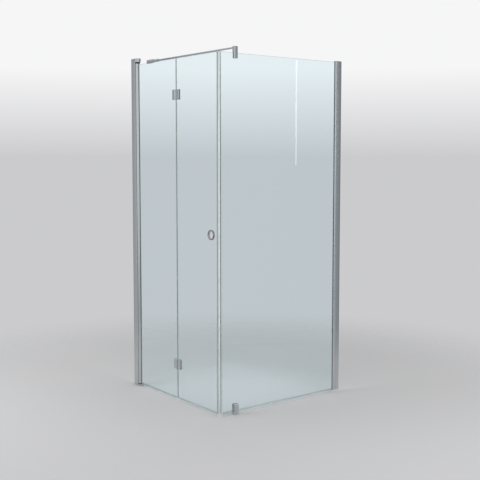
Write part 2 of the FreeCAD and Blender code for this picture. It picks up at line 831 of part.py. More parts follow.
def hinge_gaskets(label, side):
    """Thin pads between the hinge plates and both faces of the glass."""
    fields = [hinge_field(side, height) for height in HINGE_HEIGHTS.values()]
    holes = hinge_holes(side, "hinge_screw_radius + screw_fit")
    body = new_body(label)
    extrude(body, "y", "-hinge_gasket", "hinge_gasket", fields, holes)
    extrude(body, "y", "glass_thickness", "hinge_gasket", fields, holes)


def hinge_screws(label, side):
    """Socket-head screws from the inner plate through the glass into the outer plate."""
    low = "-(hinge_gasket + hinge_screw_hold)"
    top = "(glass_thickness + hinge_gasket + hinge_clamp)"
    seat = f"({top} - hinge_head_height)"
    screws = []
    for (across, height), _ in hinge_holes(side, "hinge_screw_radius"):
        shank = cylinder("y", (across, low, height), "hinge_screw_radius", f"{seat} - ({low})")
        head = cylinder("y", (across, seat, height), "hinge_head_radius", "hinge_head_height")
        socket = hex_prism("y", (across, f"{top} - hinge_head_height / 2", height),
                           "hinge_screw_radius", "hinge_head_height")
        screws.append(subtract(join([shank, head]), socket))
    group(label, screws)


def fold_hinges():
    halves = {"-": ("wall", "wall_leaf"), "+": ("door", "outer_leaf")}
    for side, (word, leaf) in halves.items():
        for level, height in HINGE_HEIGHTS.items():
            hinge_plate(f"{level}_hinge_{word}_plate", side, height)
            hinge_clamp(f"{level}_hinge_{word}_clamp", side, height)
        hinge_gaskets(f"{leaf}_hinge_gaskets", side)
        hinge_screws(f"{leaf}_hinge_screws", side)
    pins = []
    for height in HINGE_HEIGHTS.values():
        base = (FOLD_X, PIN_Y, f"{height} - hinge_height / 2")
        pins.append(cylinder("z", base, "hinge_pin_radius", "hinge_height"))
    group("hinge_pins", pins)


# Ring grip

def grip_ring_outer():
    """Outer half of the ring grip: a flat flange and a sleeve through the glass."""
    bore = f"({GRIP_X} + grip_bore)"
    sleeve = f"({bore} + grip_sleeve)"
    rim_x = f"({GRIP_X} + grip_radius)"
    front = "-(grip_washer + grip_flange)"
    back = "glass_thickness + grip_washer + grip_flange"
    profile = [
        (f"{bore} + grip_edge", front),
        (f"{rim_x} - grip_edge", front),
        (rim_x, f"{front} + grip_edge"),
        (rim_x, "-grip_washer"),
        (sleeve, "-grip_washer"),
        (sleeve, back),
        (bore, back),
        (bore, f"{front} + grip_edge"),
    ]
    turned("grip_ring_outer", "z", "grip_height", [(GRIP_X, front), (GRIP_X, back)], profile)


def grip_ring_inner():
    """Inner half of the ring grip: a flange that closes over the sleeve."""
    bore = f"({GRIP_X} + grip_bore + grip_sleeve + seat_fit)"
    rim_x = f"({GRIP_X} + grip_radius)"
    start = "glass_thickness + grip_washer"
    back = f"{start} + grip_flange"
    profile = [
        (bore, start),
        (rim_x, start),
        (rim_x, f"{back} - grip_edge"),
        (f"{rim_x} - grip_edge", back),
        (bore, back),
    ]
    turned("grip_ring_inner", "z", "grip_height", [(GRIP_X, start), (GRIP_X, back)], profile)


def grip_washers():
    """Clear washers between the ring's flanges and the glass."""
    place = (GRIP_X, "grip_height")
    rings = [(place, "grip_radius - grip_edge"), (place, "grip_bore + grip_sleeve + screw_fit")]
    body = new_body("grip_washers")
    extrude(body, "y", "-grip_washer", "grip_washer", circles=rings)
    extrude(body, "y", "glass_thickness", "grip_washer", circles=rings)


# Seals

def fold_seal():
    """Clear strip clipped on the wall leaf's free edge; its lip covers the gap from inside."""
    edge = f"({FOLD_X} - leaf_gap / 2)"
    leg = f"{edge} - seal_leg"
    seat = f"{edge} + seal_fit"
    base = f"{edge} + seal_base"
    lip_in = "glass_thickness + fold_lip_gap"
    lip_out = f"{lip_in} + seal_wall"
    section = [
        (leg, f"{SEAL_FRONT} - seal_wall"),
        (base, f"{SEAL_FRONT} - seal_wall"),
        (base, lip_in),
        (f"{FOLD_X} + fold_lip", lip_in),
        (f"{FOLD_X} + fold_lip", lip_out),
        (leg, lip_out),
        (leg, SEAL_BACK),
        (seat, SEAL_BACK),
        (seat, SEAL_FRONT),
        (leg, SEAL_FRONT),
    ]
    below = f"{HINGE_HEIGHTS['lower']} - hinge_height / 2 - seal_end_gap"
    above = f"{HINGE_HEIGHTS['upper']} + hinge_height / 2 + seal_end_gap"
    between_low = f"{HINGE_HEIGHTS['lower']} + hinge_height / 2 + seal_end_gap"
    between_high = f"{HINGE_HEIGHTS['upper']} - hinge_height / 2 - seal_end_gap"
    body = new_body("fold_seal")
    for low, high in (("glass_bottom", below), (between_low, between_high), (above, "glass_top")):
        extrude(body, "z", low, f"{high} - ({low})", [section])


def bottom_section(outer, inner, blade_end, drip_way):
    """Section of a bottom seal: legs on both faces of the glass, a blade down, and a drip rail inside."""
    top = "glass_bottom + sweep_cover"
    base = "glass_bottom - sweep_base"
    outward = "-" if drip_way == "+" else "+"
    middle = f"({outer} + {inner}) / 2"
    leg_in = f"{inner} {drip_way} seal_wall"
    leg_out = f"{outer} {outward} seal_wall"
    return [
        (leg_out, top),
        (leg_out, base),
        (f"{middle} {outward} sweep_blade / 2", base),
        (f"{middle} {outward} sweep_blade / 2", blade_end),
        (f"{middle} {drip_way} sweep_blade / 2", blade_end),
        (f"{middle} {drip_way} sweep_blade / 2", base),
        (inner, base),
        (f"{leg_in} {drip_way} sweep_drip", f"{base} - sweep_drip_fall"),
        (f"{leg_in} {drip_way} sweep_drip {drip_way} seal_wall", f"{base} - sweep_drip_fall"),
        (leg_in, f"{base} + seal_wall"),
        (leg_in, top),
        (inner, top),
        (inner, SEAL_FLOOR),
        (outer, SEAL_FLOOR),
        (outer, top),
    ]


def bottom_seals():
    door = bottom_section(SEAL_FRONT, SEAL_BACK, "sweep_floor_gap", "+")
    wall_start = f"(pivot_from_wall + {HEAD_RADIUS} + sweep_pivot_gap)"
    wall_end = f"({FOLD_X} - leaf_gap / 2 - seal_leg - seal_end_gap)"
    outer_start = f"({FOLD_X} + fold_lip + seal_end_gap)"
    outer_end = f"({DOOR_EDGE} - seal_leg - seal_end_gap)"
    body = new_body("wall_leaf_sweep")
    extrude(body, "x", wall_start, f"{wall_end} - {wall_start}", [door])
    body = new_body("outer_leaf_sweep")
    extrude(body, "x", outer_start, f"{outer_end} - {outer_start}", [door])

    pane = bottom_section("(enclosure_width + seal_fit)", f"({PANE_IN} - seal_fit)", "0", "-")
    clamp_low = "(floor_clamp_from_door - floor_clamp_width / 2 - seal_end_gap)"
    clamp_high = "(floor_clamp_from_door + floor_clamp_width / 2 + seal_end_gap)"
    front = "(fixed_edge + seal_leg + seal_end_gap)"
    back = f"({PROFILE_FRONT} - seal_end_gap)"
    body = new_body("fixed_bottom_seal")
    extrude(body, "y", front, f"{clamp_low} - {front}", [pane])
    extrude(body, "y", clamp_high, f"{back} - {clamp_high}", [pane])


def magnet_corner():
    """The two magnetic seals that meet in the corner, and the magnet strips inside them."""
    length = "glass_top - glass_bottom"
    magnet_low = f"({DOOR_MID} - magnet_width / 2)"
    magnet_high = f"({DOOR_MID} + magnet_width / 2)"
    leg = f"{DOOR_EDGE} - seal_leg"
    seat = f"{DOOR_EDGE} + seal_fit"
    door_section = [
        (leg, f"{SEAL_FRONT} - seal_wall"),
        (DOOR_TIP, f"{SEAL_FRONT} - seal_wall"),
        (DOOR_TIP, f"{SEAL_BACK} + seal_wall"),
        (leg, f"{SEAL_BACK} + seal_wall"),
        (leg, SEAL_BACK),
        (seat, SEAL_BACK),
        (seat, SEAL_FRONT),
        (leg, SEAL_FRONT),
    ]
    door_magnet = box_outline((f"{DOOR_TIP} - magnet_skin - magnet_depth", magnet_low),
                              (f"{DOOR_TIP} - magnet_skin", magnet_high))
    extrude(new_body("door_magnet_seal"), "z", "glass_bottom", length, [door_section, door_magnet])
    extrude(new_body("door_magnet_strip"), "z", "glass_bottom", length, [door_magnet])

    face = "(enclosure_width - fixed_seal_reach)"
    outer_leg = "(enclosure_width + seal_fit)"
    inner_leg = f"({PANE_IN} - seal_fit)"
    outside = f"({outer_leg} + seal_wall)"
    inside = f"({inner_leg} - seal_wall)"
    seat = "fixed_edge - seal_fit"
    leg_end = "fixed_edge + seal_leg"
    pane_section = [
        (face, "-fixed_seal_front"),
        (outside, "-fixed_seal_front"),
        (outside, leg_end),
        (outer_leg, leg_end),
        (outer_leg, seat),
        (inner_leg, seat),
        (inner_leg, leg_end),
        (inside, leg_end),
        (inside, "fixed_edge - seal_base"),
        (face, "fixed_edge - seal_base"),
    ]
    pane_magnet = box_outline((f"{face} + magnet_skin", magnet_low),
                              (f"{face} + magnet_skin + magnet_depth", magnet_high))
    chamber = box_outline((f"{face} + 2 * magnet_skin + magnet_depth", "seal_wall - fixed_seal_front"),
                          ("enclosure_width", "fixed_edge - seal_base - seal_wall"))
    extrude(new_body("fixed_magnet_seal"), "z", "glass_bottom", length, [pane_section, pane_magnet, chamber])
    extrude(new_body("fixed_magnet_strip"), "z", "glass_bottom", length, [pane_magnet])


# Clamps on the fixed pane

def glass_liner(label, low_y, width, closed_z, open_z):
    """U liner between a clamp and the glass, closed at the glass edge."""
    left = f"{PANE_MID} - {SLOT_HALF}"
    right = f"{PANE_MID} + {SLOT_HALF}"
    glass_edge = "glass_bottom" if "bottom" in closed_z else "glass_top"
    section = [
        (left, open_z),
        (left, closed_z),
        (right, closed_z),
        (right, open_z),
        ("enclosure_width", open_z),
        ("enclosure_width", glass_edge),
        (PANE_IN, glass_edge),
        (PANE_IN, open_z),
    ]
    extrude(new_body(label), "y", low_y, width, [section])


def set_screw(direction, base, radius, length, socket=None):
    """Headless screw with a hexagon socket, which starts at its base if no other place is given."""
    rod = cylinder(direction, base, radius, length)
    hexagon = hex_prism(direction, socket or base, "set_screw_hex", "set_screw_hex_depth")
    return subtract(rod, hexagon)


def floor_clamp():
    """Block on the floor that holds the fixed pane in a slot."""
    low_y = "(floor_clamp_from_door - floor_clamp_width / 2)"
    high_y = "(floor_clamp_from_door + floor_clamp_width / 2)"
    slot_low = f"({PANE_MID} - {SLOT_HALF})"
    slot_floor = "glass_bottom - liner"
    plan = box_outline((FLOOR_CLAMP_IN, low_y), (f"{PANE_MID} + floor_clamp_depth / 2", high_y))
    slot = box_outline((slot_low, slot_floor), (f"{PANE_MID} + {SLOT_HALF}", "2 * floor_clamp_height"))
    body = new_body("floor_clamp")
    extrude(body, "z", "0", "floor_clamp_height", [plan])
    round_edges(body, "clamp_corner", along("z"))
    bevel_edges(body, "clamp_bevel", rim("z", "high"))
    cut(body, "y", low_y, "floor_clamp_width", [slot])
    thread = (("floor_clamp_from_door", "floor_screw_height"), "set_screw_radius")
    cut(body, "x", FLOOR_CLAMP_IN, f"{slot_low} - {FLOOR_CLAMP_IN}", circles=[thread])
    bore = ((PANE_MID, "floor_clamp_from_door"), "floor_bore_radius")
    cut(body, "z", "0", slot_floor, circles=[bore])
    glass_liner("floor_clamp_liner", low_y, "floor_clamp_width", slot_floor, "floor_clamp_height")
    start = f"{FLOOR_CLAMP_IN} + set_screw_sink"
    screw = set_screw("x", (start, "floor_clamp_from_door", "floor_screw_height"),
                      "set_screw_radius", f"{slot_low} - ({start})")
    keep(screw, "floor_clamp_screw")


def bar_glass_clamp():
    """Block on the top edge of the fixed pane that takes the end of the stabiliser bar."""
    low_y = "(bar_from_door - bar_clamp_width / 2)"
    high_y = "(bar_from_door + bar_clamp_width / 2)"
    bottom = "(glass_top - bar_clamp_grip)"
    top = f"({BAR_Z} + bar_clamp_crown)"
    slot_low = f"({PANE_MID} - {SLOT_HALF})"
    slot_top = "glass_top + liner"
    plan = box_outline((BAR_CLAMP_IN, low_y), (f"{PANE_MID} + bar_clamp_depth / 2", high_y))
    slot = box_outline((slot_low, bottom), (f"{PANE_MID} + {SLOT_HALF}", slot_top))
    body = new_body("bar_glass_clamp")
    extrude(body, "z", bottom, f"{top} - {bottom}", [plan])
    round_edges(body, "bar_clamp_corner", along("z"))
    bevel_edges(body, "clamp_bevel", rim("z", "high"))
    cut(body, "y", low_y, "bar_clamp_width", [slot])
    bore = (("bar_from_door", BAR_Z), "bar_radius + seat_fit")
    cut(body, "x", BAR_CLAMP_IN, f"enclosure_width - {BAR_CLAMP_IN}", circles=[bore])
    pinch_z = "glass_top - bar_screw_below_edge"
    pinch = (("bar_from_door", pinch_z), "set_screw_radius")
    cut(body, "x", BAR_CLAMP_IN, f"{slot_low} - {BAR_CLAMP_IN}", circles=[pinch])
    lock_y = "bar_from_door + bar_radius"
    lock_depth = "bar_clamp_width / 2 - bar_radius"
    cut(body, "y", lock_y, lock_depth, circles=[((PANE_IN, BAR_Z), "bar_set_screw_radius")])
    glass_liner("bar_clamp_liner", low_y, "bar_clamp_width", slot_top, bottom)
    start = f"{BAR_CLAMP_IN} + set_screw_sink"
    pinch_screw = set_screw("x", (start, "bar_from_door", pinch_z), "set_screw_radius",
                            f"{slot_low} - ({start})")
    lock_length = f"({lock_depth} - set_screw_sink)"
    lock_socket = (PANE_IN, f"{lock_y} + {lock_length} - set_screw_hex_depth", BAR_Z)
    lock_screw = set_screw("y", (PANE_IN, lock_y, BAR_Z), "bar_set_screw_radius", lock_length, lock_socket)
    group("bar_clamp_screws", [pinch_screw, lock_screw])


# Stabiliser bar and its wall fixing

def stabiliser_bar():
    """Thin round tube from the wall fixing to the clamp on the pane."""
    length = "enclosure_width - bar_stand_off"
    base = ("bar_stand_off", "bar_from_door", BAR_Z)
    keep(subtract(cylinder("x", base, "bar_radius", length), cylinder("x", base, "bar_bore", length)),
         "stabiliser_bar")


def bar_sleeve():
    """Turned sleeve on the bar, against the end of the wall socket."""
    bore = f"{BAR_Z} + bar_radius + seat_fit"
    outside = f"{BAR_Z} + bar_sleeve_radius"
    end = "(socket_length + bar_sleeve_length)"
    profile = [
        ("socket_length", bore),
        ("socket_length", outside),
        (f"{end} - bar_edge", outside),
        (end, f"{outside} - bar_edge"),
        (end, bore),
    ]
    turned("bar_sleeve", "y", "bar_from_door", [("socket_length", BAR_Z), (end, BAR_Z)], profile)


def bar_wall_socket():
    """Turned socket that covers the wall plate and takes the bar."""
    bore = f"{BAR_Z} + bar_radius + seat_fit"
    cup = f"{BAR_Z} + wall_plate_radius + seat_fit"
    outside = f"{BAR_Z} + socket_radius"
    profile = [
        ("0", cup),
        ("0", outside),
        ("socket_length - bar_edge", outside),
        ("socket_length", f"{outside} - bar_edge"),
        ("socket_length", bore),
        ("socket_cup", bore),
        ("socket_cup", cup),
    ]
    axis = [("0", BAR_Z), ("socket_length", BAR_Z)]
    body = turned("bar_wall_socket", "y", "bar_from_door", axis, profile)
    thread = (("socket_screw_from_wall", "bar_from_door"), "bar_set_screw_radius")
    cut(body, "z", f"{BAR_Z} - socket_radius", "socket_radius - bar_radius", circles=[thread])
    base = ("socket_screw_from_wall", "bar_from_door", f"{BAR_Z} - socket_radius + set_screw_sink")
    screw = set_screw("z", base, "bar_set_screw_radius", "socket_radius - bar_radius - set_screw_sink")
    keep(screw, "bar_socket_screw")


def bar_wall_plate():
    """Round plate screwed to the wall inside the socket; its boss meets the end of the bar."""
    profile = [
        ("0", BAR_Z),
        ("0", f"{BAR_Z} + wall_plate_radius"),
        ("wall_plate", f"{BAR_Z} + wall_plate_radius"),
        ("wall_plate", f"{BAR_Z} + wall_plate_boss"),
        ("bar_stand_off", f"{BAR_Z} + wall_plate_boss"),
        ("bar_stand_off", BAR_Z),
    ]
    axis = [("0", BAR_Z), ("bar_stand_off", BAR_Z)]
    body = turned("bar_wall_plate", "y", "bar_from_door", axis, profile)
    holes = [((f"bar_from_door {way} plate_hole_pitch / 2", BAR_Z), "plate_hole_radius") for way in "-+"]
    cut(body, "x", "0", "wall_plate", circles=holes)


def pivot_assembly():
    pivot_block("top_pivot_block", HEAD_LOW, "head_height", f"{HEAD_LOW} - block_tongue", HEAD_LOW, "high")
    pivot_block("bottom_pivot_block", "0", FOOT_TOP, FOOT_TOP, f"{FOOT_TOP} - bush_spigot_depth", "low")
    pivot_bush("top_pivot_bush", HEAD_LOW, f"{HEAD_LOW} - top_collar", f"{HEAD_LOW} + bush_spigot_depth")
    pivot_bush("bottom_pivot_bush", FOOT_TOP, f"{FOOT_TOP} + bottom_collar",
               f"{FOOT_TOP} - bush_spigot_depth")
    pivot_pin("tube_top_pin", f"{TUBE_TOP} - pivot_pin_hold",
              f"{HEAD_LOW} + bush_spigot_depth - pin_tip_gap")
    pivot_pin("tube_bottom_pin", f"{FOOT_TOP} - bush_spigot_depth + pin_tip_gap",
              "glass_bottom + pivot_pin_hold")
    pivot_tube()
    tube_glazing_gasket()


def build():
    left_wall_channel()
    left_seat_profile()
    left_profile_screws()
    right_wall_channel()
    right_cover_profile()
    right_profile_screws()
    right_glazing_gaskets()
    right_end_cap("right_top_cap", PROFILE_TOP, "high")
    right_end_cap("right_bottom_cap", "glass_bottom - end_cap", "low")
    pivot_assembly()
    glass_panes()
    fold_hinges()
    grip_ring_outer()
    grip_ring_inner()
    grip_washers()
    fold_seal()
    bottom_seals()
    magnet_corner()
    floor_clamp()
    bar_glass_clamp()
    stabiliser_bar()
    bar_sleeve()
    bar_wall_socket()
    bar_wall_plate()


def check_and_export():
    """Stop on any failed object, then write each sub-part to its own file."""
    doc.recompute()
    failed = [item.Label for item in doc.Objects if {"Invalid", "Error"} & set(item.State)]
    if failed:
        raise RuntimeError(f"failed objects: {failed}")
    for item in subparts:
        if item.Shape.isNull() or not item.Shape.isValid() or not item.Shape.Solids:
            raise RuntimeError(f"bad shape: {item.Label}")
    os.makedirs("parts", exist_ok=True)
    for item in subparts:
        item.Shape.exportStep(f"parts/{item.Label}.step")
        print(item.Label, len(item.Shape.Solids), round(item.Shape.Volume, 1))


build()
check_and_export()
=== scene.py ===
import json
import math

import bmesh
import bpy
import numpy as np
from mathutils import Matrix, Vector
from mathutils.geometry import tessellate_polygon

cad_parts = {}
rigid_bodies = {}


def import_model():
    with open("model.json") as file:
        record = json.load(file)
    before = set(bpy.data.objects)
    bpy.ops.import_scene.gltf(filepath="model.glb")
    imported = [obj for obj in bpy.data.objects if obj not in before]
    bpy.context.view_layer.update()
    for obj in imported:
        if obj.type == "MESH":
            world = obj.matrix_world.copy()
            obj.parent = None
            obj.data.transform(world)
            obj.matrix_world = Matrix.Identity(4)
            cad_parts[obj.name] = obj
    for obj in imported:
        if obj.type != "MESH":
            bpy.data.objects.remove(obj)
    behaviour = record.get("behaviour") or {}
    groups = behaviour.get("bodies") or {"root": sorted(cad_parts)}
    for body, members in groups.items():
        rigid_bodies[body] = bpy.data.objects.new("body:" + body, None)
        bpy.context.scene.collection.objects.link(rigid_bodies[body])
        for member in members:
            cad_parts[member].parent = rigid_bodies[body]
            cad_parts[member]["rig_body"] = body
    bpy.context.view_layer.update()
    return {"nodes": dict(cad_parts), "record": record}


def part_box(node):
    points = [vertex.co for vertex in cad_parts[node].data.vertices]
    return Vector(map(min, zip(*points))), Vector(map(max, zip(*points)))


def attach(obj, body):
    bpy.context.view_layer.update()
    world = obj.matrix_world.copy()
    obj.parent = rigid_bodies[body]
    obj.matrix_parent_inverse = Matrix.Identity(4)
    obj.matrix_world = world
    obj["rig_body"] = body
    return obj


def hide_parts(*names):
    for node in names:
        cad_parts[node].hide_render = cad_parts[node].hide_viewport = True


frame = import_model()
nodes = frame["nodes"]

MM = 0.001

# Camera: place in the model's frame in metres, heading turned from +Y towards -X, tilt below the horizon,
# focal length in millimetres, and shift as a share of the picture
CAMERA_PLACE = (4.1903, -3.1800, 1.4384)
CAMERA_HEADING = math.radians(52.460)
CAMERA_TILT = math.radians(4.895)
CAMERA_LENS = 64.316
CAMERA_SHIFT = -0.02

# Sizes in millimetres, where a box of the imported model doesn't give them
TUBE_WALL = 2.0
TUBE_PORT_WALL = 2.5
SEAT_CLEARANCE = 0.6
SEAT_WEB = 2.9
SEAT_PROFILE_WALL = 2.5
COVER_WALL = 1.8
COVER_LIP_WALL = 1.5
COVER_CORNER = 5.0
PANE_LINER = 1.0
SMALL_ROUND = 0.3
GLASS_ARRIS = 0.8
HINGE_SCREW_PITCH = 32.0
HINGE_HOLE_RADIUS = 6.0
GRIP_HOLE_RADIUS = 26.0
GRIP_BORE_RADIUS = 22.0
GRIP_SLEEVE_WALL = 2.0
GRIP_ROUND = 0.8
BAR_BORE_RADIUS = 3.5
BAR_ROUND = 0.5

# Turn of the hollow in the back of the tube, round its middle
TUBE_HOLLOW_SWEEP = math.radians(210)

# Faces that meet at a larger angle than this keep a crisp edge
CRISP_ANGLE = math.radians(35)


# Finishes

# Part of an uneven pattern's values over which it carries a finish from one value to another
PATTERN_SPAN = (0.3, 0.7)

# Places of the two inputs and of the result among a Mix node's sockets
MIX_SOCKETS = {"FLOAT": (2, 3, 0), "RGBA": (6, 7, 2)}


def linear(hex_colour):
    """Turn an sRGB hex colour into the linear RGBA that shader sockets take."""
    srgb = np.array([int(hex_colour[n:n + 2], 16) for n in (0, 2, 4)]) / 255
    channels = np.where(srgb <= 0.04045, srgb / 12.92, ((srgb + 0.055) / 1.055) ** 2.4)
    return (*channels.tolist(), 1.0)


def add_node(tree, kind, inputs=None, **settings):
    """Add one shader node with its settings.

    Inputs go by name or place, and each is a plain value, a hex colour, or the socket that feeds it.
    """
    node = tree.nodes.new(kind)
    for name, value in settings.items():
        setattr(node, name, value)
    for name, value in (inputs or {}).items():
        if isinstance(value, bpy.types.NodeSocket):
            tree.links.new(value, node.inputs[name])
        elif isinstance(value, str):
            node.inputs[name].default_value = linear(value)
        else:
            node.inputs[name].default_value = value
    return node


def new_finish(name, cell, detail=2.0, relief=0.0, **sockets):
    """Make a material with one principled shader and one uneven pattern.

    The pattern has a cell of a size in millimetres along X, Y and Z, and raises the surface by the
    relief, in millimetres. The shader's sockets are given by name with _ for a space: one value stays as
    it is, and a pair is carried by the pattern from the first value to the second.
    """
    material = bpy.data.materials.new(name)
    material.use_nodes = True
    tree = material.node_tree
    tree.nodes.clear()
    place = add_node(tree, "ShaderNodeTexCoord")
    scaled = add_node(tree, "ShaderNodeMapping", {
        "Vector": place.outputs["Object"],
        "Scale": [1 / (length * MM) for length in cell],
    })
    pattern = add_node(tree, "ShaderNodeTexNoise", {
        "Vector": scaled.outputs["Vector"], "Scale": 1.0, "Detail": detail,
    })
    share = add_node(tree, "ShaderNodeMapRange", {
        "Value": pattern.outputs["Fac"], "From Min": PATTERN_SPAN[0], "From Max": PATTERN_SPAN[1],
    })
    inputs = {}
    for socket, value in sockets.items():
        if isinstance(value, tuple):
            kind = "RGBA" if isinstance(value[0], str) else "FLOAT"
            first, second, result = MIX_SOCKETS[kind]
            mixed = add_node(tree, "ShaderNodeMix", {
                "Factor": share.outputs["Result"], first: value[0], second: value[1],
            }, data_type=kind)
            value = mixed.outputs[result]
        inputs[socket.replace("_", " ")] = value
    if relief:
        bump = add_node(tree, "ShaderNodeBump", {
            "Height": pattern.outputs["Fac"], "Strength": 1.0, "Distance": relief * MM,
        })
        inputs["Normal"] = bump.outputs["Normal"]
    shader = add_node(tree, "ShaderNodeBsdfPrincipled", inputs)
    add_node(tree, "ShaderNodeOutputMaterial", {"Surface": shader.outputs["BSDF"]})
    return material


FINISHES = {
    # Toughened float glass: clear with a faint blue-green tint, and the slow waves that the rollers of
    # the furnace leave, about 280 mm apart; they bend reflections a little.
    "safety_glass": new_finish(
        "toughened_float_glass", (280, 280, 280), detail=0.0, relief=0.05,
        Base_Color="f0fbfe", Roughness=0.0, IOR=1.52, Transmission_Weight=1.0),
    # Bright anodised extrusion: silver, with die lines along its length. Real lines are about 0.3 mm
    # apart; here they are 7 mm, so that they show.
    "bright_aluminium": new_finish(
        "bright_anodised_aluminium", (7, 7, 3000), detail=0.0,
        Base_Color=("c8cbcd", "d8dbdd"), Metallic=1.0, Roughness=(0.16, 0.26)),
    # Chromium plate on polished zinc or brass: a mirror with faint smears from hands and water, about
    # 24 mm wide.
    "chromed_fittings": new_finish(
        "polished_chrome_plate", (24, 24, 24), detail=4.0,
        Base_Color="cacdd0", Metallic=1.0, Roughness=(0.05, 0.13)),
    # Plain stainless screws and pins: greyer than chrome, with turning marks drawn 1.5 mm wide to show.
    "stainless_fasteners": new_finish(
        "turned_stainless_steel", (1.5, 1.5, 1.5),
        Base_Color=("9a9b9a", "b3b4b2"), Metallic=1.0, Roughness=(0.25, 0.38)),
    # Moulded black acetal: deep grey, a soft sheen and a fine moulded grain, drawn at 1.2 mm to show.
    "black_plastic": new_finish(
        "moulded_black_acetal", (1.2, 1.2, 1.2), relief=0.03,
        Base_Color="1b1c1e", IOR=1.48, Roughness=(0.32, 0.45)),
    # Extruded soft PVC: clear with a faint haze in clouds about 20 mm wide. It clings to the glass with
    # no air between them, so it bends light far less than its own index of 1.53 would.
    "clear_seal": new_finish(
        "extruded_clear_pvc", (20, 20, 20),
        Base_Color=("f6f9f9", "fcfdfd"), IOR=1.08, Transmission_Weight=1.0, Roughness=0.0),
    # Grey glazing rubber: matt, a little uneven from extrusion; grain drawn at 2 mm to show.
    "grey_rubber": new_finish(
        "grey_glazing_rubber", (2, 2, 2),
        Base_Color=("55595b", "676b6d"), IOR=1.5, Roughness=(0.55, 0.7)),
    # Plastic-bonded magnet in a pale sheath, seen through clear PVC: matt, with streaks along its length
    # from extrusion, drawn 4 mm wide to show.
    "magnet_strip": new_finish(
        "pale_bonded_magnet", (4, 4, 300),
        Base_Color=("eceeee", "f4f5f5"), IOR=1.5, Roughness=(0.5, 0.65)),
}

# Ground and polished glass edge: light that has run through the pane leaves it a little darker and
# greener, with spots of duller gloss about 6 mm wide where the grind still shows.
GLASS_EDGE = new_finish(
    "polished_glass_edge", (6, 6, 6),
    Base_Color="a0aaa8", IOR=1.52, Transmission_Weight=0.35, Roughness=(0.15, 0.3))

# Clear PVC of the seals over the floor, a little greyer than on the upright edges: the grey is painted
# shade along the floor line.
SHADED_FLOOR_SEAL = new_finish(
    "extruded_clear_pvc_lip_painted_shade", (20, 20, 20),
    Base_Color=("eaeeee", "f1f4f4"), IOR=1.08, Transmission_Weight=1.0, Roughness=0.0)

# Plastic-bonded magnet of the door: darker than the sheathed one it meets, with like streaks.
DOOR_MAGNET = new_finish(
    "grey_bonded_magnet", (4, 4, 300),
    Base_Color=("d2d6d6", "dce0e0"), IOR=1.5, Roughness=(0.5, 0.65))

# Chromium plate of the ring grip: a shade darker than the other fittings, and a little dulled by hands.
GRIP_CHROME = new_finish(
    "handled_chrome_plate", (24, 24, 24), detail=4.0,
    Base_Color="a9acaf", Metallic=1.0, Roughness=(0.07, 0.16))

# Nodes whose finish differs from their slot's
OWN_FINISHES = {
    "grip_ring_outer": GRIP_CHROME,
    "grip_ring_inner": GRIP_CHROME,
    # The floor seals take the greyer PVC, whose grey is painted shade along the floor line
    "wall_leaf_sweep": SHADED_FLOOR_SEAL,
    "outer_leaf_sweep": SHADED_FLOOR_SEAL,
    "fixed_bottom_seal": SHADED_FLOOR_SEAL,
    "door_magnet_strip": DOOR_MAGNET,
    "grip_washers": FINISHES["black_plastic"],
}

# Clear pieces let the lamps through, so they throw no dark shadow
CLEAR_SLOTS = ("safety_glass", "clear_seal")


def finish_of(node, slot):
    """The node's own finish, or else that of its slot."""
    return OWN_FINISHES.get(node, FINISHES[slot])


# Surfaces

# Columns of X, Y and Z that hold a section's two coordinates and its length, for each direction
COLUMNS = {"x": (1, 2, 0), "y": (0, 2, 1), "z": (0, 1, 2)}


def arc(centre, radius, start, end, count=48):
    """Points centre + radius (cos a, sin a), for an angle a that runs evenly from start to end."""
    angle = np.linspace(start, end, count)
    return np.asarray(centre) + radius * np.column_stack([np.cos(angle), np.sin(angle)])


def hole(centre, radius, count=72):
    """A circle taken clockwise, so that the material lies on the left of its path."""
    return arc(centre, radius, 0.0, -2 * math.pi, count + 1)[:-1]


def unit(vectors):
    """Vectors divided by their lengths."""
    return vectors / np.linalg.norm(vectors, axis=-1, keepdims=True)


def rounded(corners, radii, steps=7):
    """Swap each corner of a closed outline for an arc of its radius that touches both edges.

    With half the corner's angle h, the arc starts radius / tan h from the corner, and its centre lies
    radius / sin h away along the bisector.
    """
    corners = np.asarray(corners, float)
    radii = np.broadcast_to(radii, len(corners)).astype(float)
    back = unit(np.roll(corners, 1, axis=0) - corners)
    ahead = unit(np.roll(corners, -1, axis=0) - corners)
    half = np.arccos(np.clip((back * ahead).sum(axis=1), -1, 1)) / 2
    start = corners + back * (radii / np.tan(half))[:, None]
    end = corners + ahead * (radii / np.tan(half))[:, None]
    centre = corners + unit(back + ahead) * (radii / np.sin(half))[:, None]
    first = np.arctan2(*(start - centre).T[::-1])
    last = np.arctan2(*(end - centre).T[::-1])
    turn = (last - first + math.pi) % (2 * math.pi) - math.pi
    angle = first[:, None] + turn[:, None] * np.linspace(0, 1, steps)
    ring = np.stack([np.cos(angle), np.sin(angle)], axis=-1)
    return (centre[:, None] + radii[:, None, None] * ring).reshape(-1, 2)


def inset(loop, distance):
    """Move a closed path to its left by a distance, with mitred corners."""
    step = unit(np.roll(loop, -1, axis=0) - loop)
    left = np.column_stack([-step[:, 1], step[:, 0]])
    before = np.roll(left, 1, axis=0)
    share = 1 + (left * before).sum(axis=1, keepdims=True)
    return loop + distance * (left + before) / share


def new_piece(name, points, faces, edge_faces=0):
    """Make a closed, smooth-shaded mesh object whose crisp edges stay sharp.

    The first edge_faces of its faces take the second material.
    """
    mesh = bpy.data.meshes.new(name)
    mesh.from_pydata(points.tolist(), [], faces)
    kind = np.zeros(len(faces), np.int32)
    kind[:edge_faces] = 1
    mesh.polygons.foreach_set("material_index", kind)
    shell = bmesh.new()
    shell.from_mesh(mesh)
    bmesh.ops.recalc_face_normals(shell, faces=shell.faces)
    shell.to_mesh(mesh)
    shell.free()
    mesh.shade_smooth()
    mesh.set_sharp_from_angle(angle=CRISP_ANGLE)
    piece = bpy.data.objects.new(name, mesh)
    bpy.context.scene.collection.objects.link(piece)
    return piece


